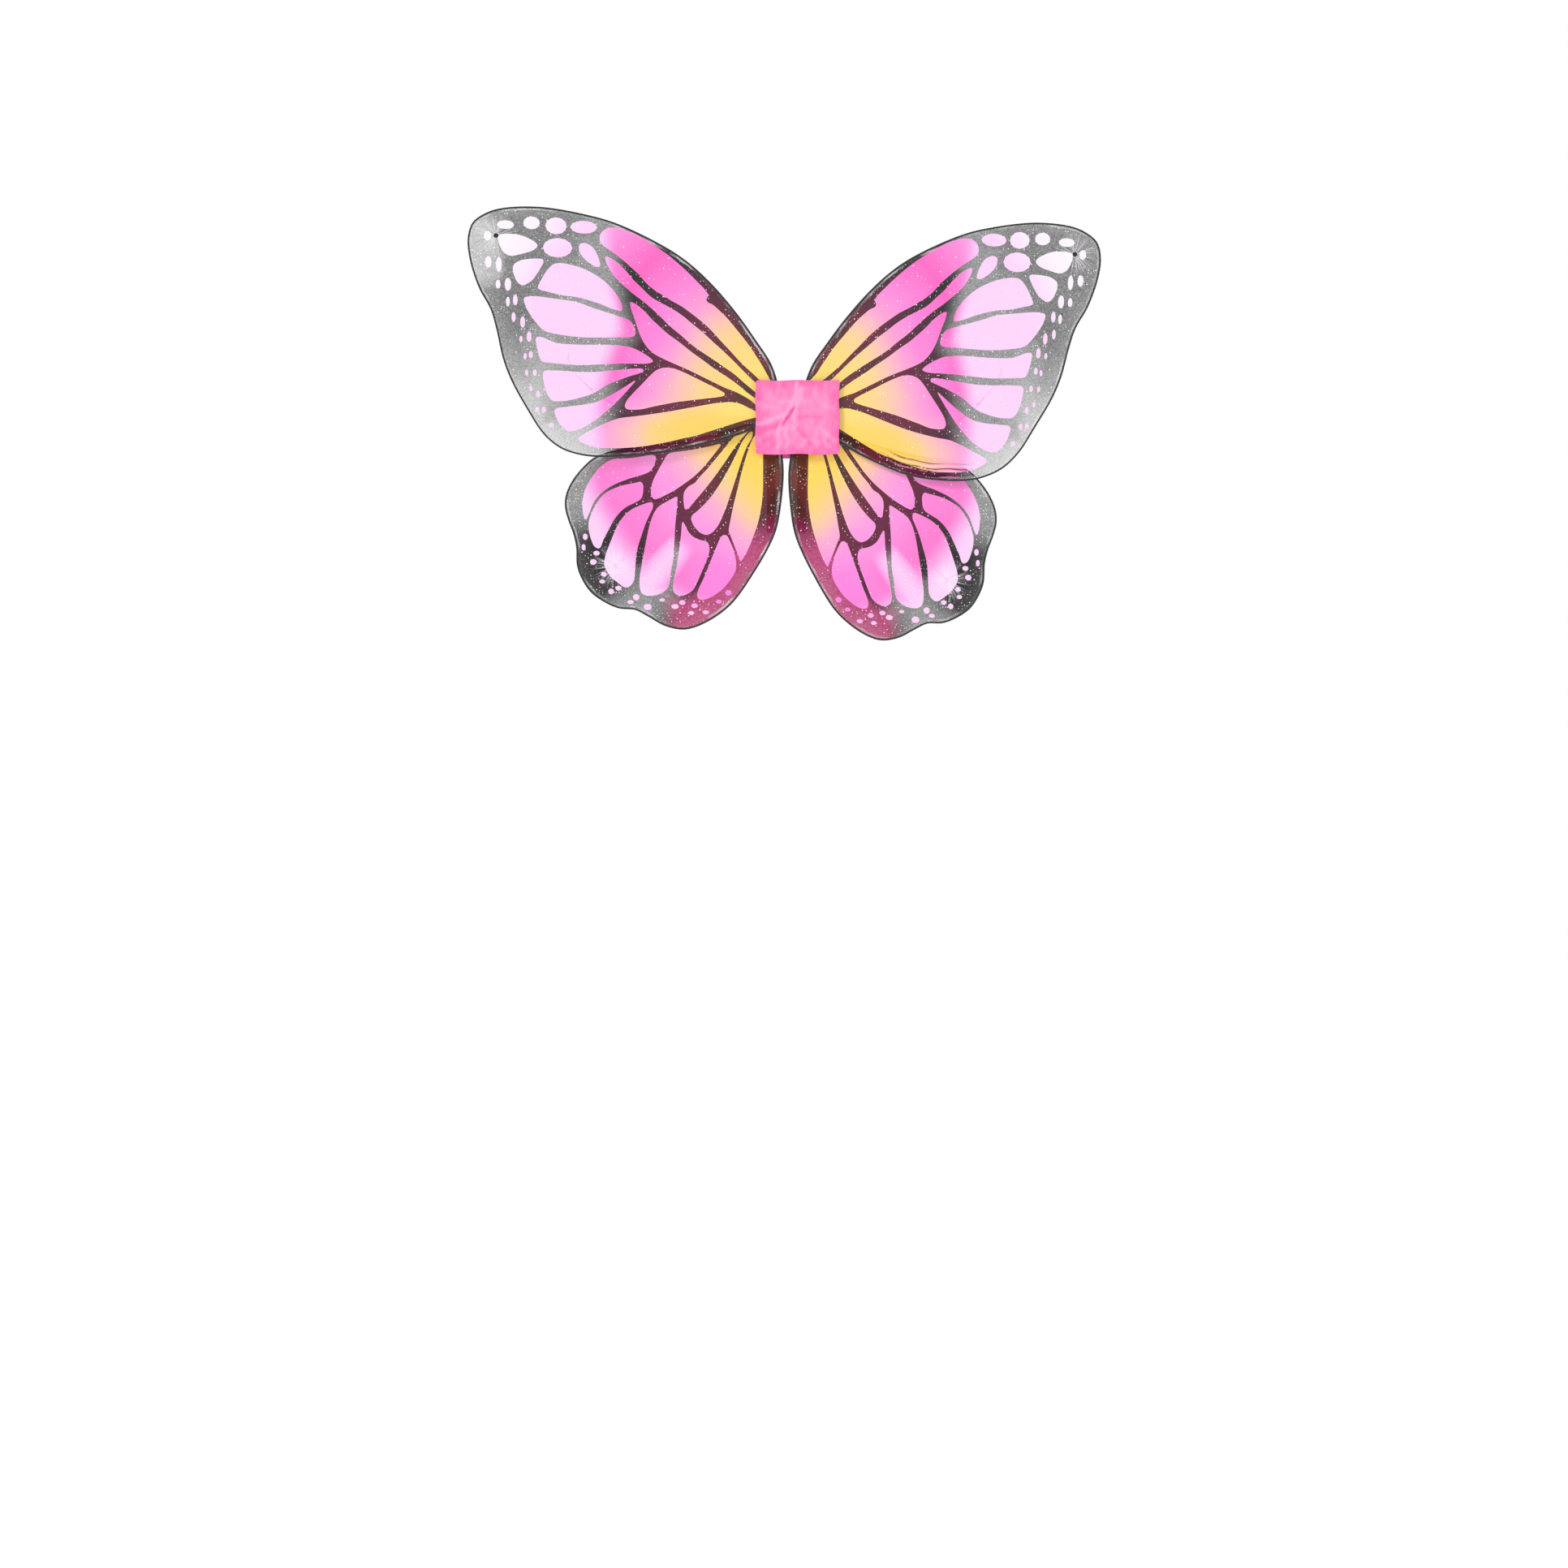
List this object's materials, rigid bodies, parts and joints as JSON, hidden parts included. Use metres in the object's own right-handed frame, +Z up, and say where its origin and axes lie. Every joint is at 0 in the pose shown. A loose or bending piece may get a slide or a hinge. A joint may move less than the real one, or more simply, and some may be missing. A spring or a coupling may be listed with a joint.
{
  "type": "fairy wings",
  "caption": "Child's butterfly wings: printed film sealed over hand-bent wire loops, joined under a soft square centre patch, with elastic arm loops.",
  "frame": {"origin": "middle of the pad's face that rests on the wearer's back, on the line midway between the two sides", "axes": "+Y out of the pad's face, towards the wearer; +X to the wearer's right; +Z up"},
  "size_m": [0.5693, 0.0698, 0.3903],
  "materials": {
    "film": "translucent printed film with speckled veins",
    "wire": "black coated wire",
    "crimp": "plain",
    "tape": "woven cloth tape",
    "plush": "soft brushed cloth",
    "elastic": "woven elastic"
  },
  "bodies": {
    "hub": {"outer_patch": "plush", "inner_pad": "plush", "centre_binding": "tape", "left_elastic_top_tail": "elastic", "left_elastic_bottom_tail": "elastic", "right_elastic_top_tail": "elastic", "right_elastic_bottom_tail": "elastic"},
    "left_arm_loop": {"left_arm_elastic": "elastic"},
    "upper_left_root": {"upper_left_crimp": "crimp", "upper_left_wire_root": "wire", "upper_left_film_root": "film"},
    "upper_left_wing": {"upper_left_wire": "wire", "upper_left_film": "film"},
    "lower_left_root": {"lower_left_crimp": "crimp", "lower_left_wire_root": "wire", "lower_left_film_root": "film"},
    "lower_left_wing": {"lower_left_wire": "wire", "lower_left_film": "film"},
    "right_arm_loop": {"right_arm_elastic": "elastic"},
    "upper_right_root": {"upper_right_crimp": "crimp", "upper_right_wire_root": "wire", "upper_right_film_root": "film"},
    "upper_right_wing": {"upper_right_wire": "wire", "upper_right_film": "film"},
    "lower_right_root": {"lower_right_crimp": "crimp", "lower_right_wire_root": "wire", "lower_right_film_root": "film"},
    "lower_right_wing": {"lower_right_wire": "wire", "lower_right_film": "film"}
  },
  "joints": [
    {"name": "upper_left_droop", "type": "hinge", "parent": "hub", "child": "upper_left_root", "pos_m": [-0.00563, -0.0103, 0.01033], "axis": [0, -1, 0], "range_deg": [-5, 5]},
    {"name": "upper_left_fold", "type": "hinge", "parent": "upper_left_root", "child": "upper_left_wing", "pos_m": [-0.0315, -0.0103, 0.02], "axis": [0, 0, 1], "range_deg": [-6, 60]},
    {"name": "lower_left_droop", "type": "hinge", "parent": "hub", "child": "lower_left_root", "pos_m": [-0.0052, -0.007, -0.00634], "axis": [0, -1, 0], "range_deg": [-5, 2]},
    {"name": "lower_left_fold", "type": "hinge", "parent": "lower_left_root", "child": "lower_left_wing", "pos_m": [-0.03048, -0.007, -0.03247], "axis": [-0.7071, 0, 0.7071], "range_deg": [-5, 48.5]},
    {"name": "left_arm_loop_swing", "type": "hinge", "parent": "hub", "child": "left_arm_loop", "pos_m": [-0.014, -0.0039, 0], "axis": [0, 0, 1], "range_deg": [-15, 25]},
    {"name": "upper_right_droop", "type": "hinge", "parent": "hub", "child": "upper_right_root", "pos_m": [0.00563, -0.0103, 0.01033], "axis": [0, 1, 0], "range_deg": [-5, 5]},
    {"name": "upper_right_fold", "type": "hinge", "parent": "upper_right_root", "child": "upper_right_wing", "pos_m": [0.0515, -0.0103, 0.02], "axis": [0, 0, -1], "range_deg": [-6, 60]},
    {"name": "lower_right_droop", "type": "hinge", "parent": "hub", "child": "lower_right_root", "pos_m": [0.0052, -0.007, -0.00634], "axis": [0, 1, 0], "range_deg": [-5, 2]},
    {"name": "lower_right_fold", "type": "hinge", "parent": "lower_right_root", "child": "lower_right_wing", "pos_m": [0.05047, -0.007, -0.03247], "axis": [-0.7071, 0, -0.7071], "range_deg": [-5, 48.5]},
    {"name": "right_arm_loop_swing", "type": "hinge", "parent": "hub", "child": "right_arm_loop", "pos_m": [0.014, -0.0039, 0], "axis": [0, 0, 1], "range_deg": [-25, 15]}
  ],
  "couplings": [
    {"joint": "lower_left_fold", "follows": "upper_left_fold", "ratio": 0.8},
    {"joint": "lower_right_fold", "follows": "upper_right_fold", "ratio": 0.8}
  ]
}
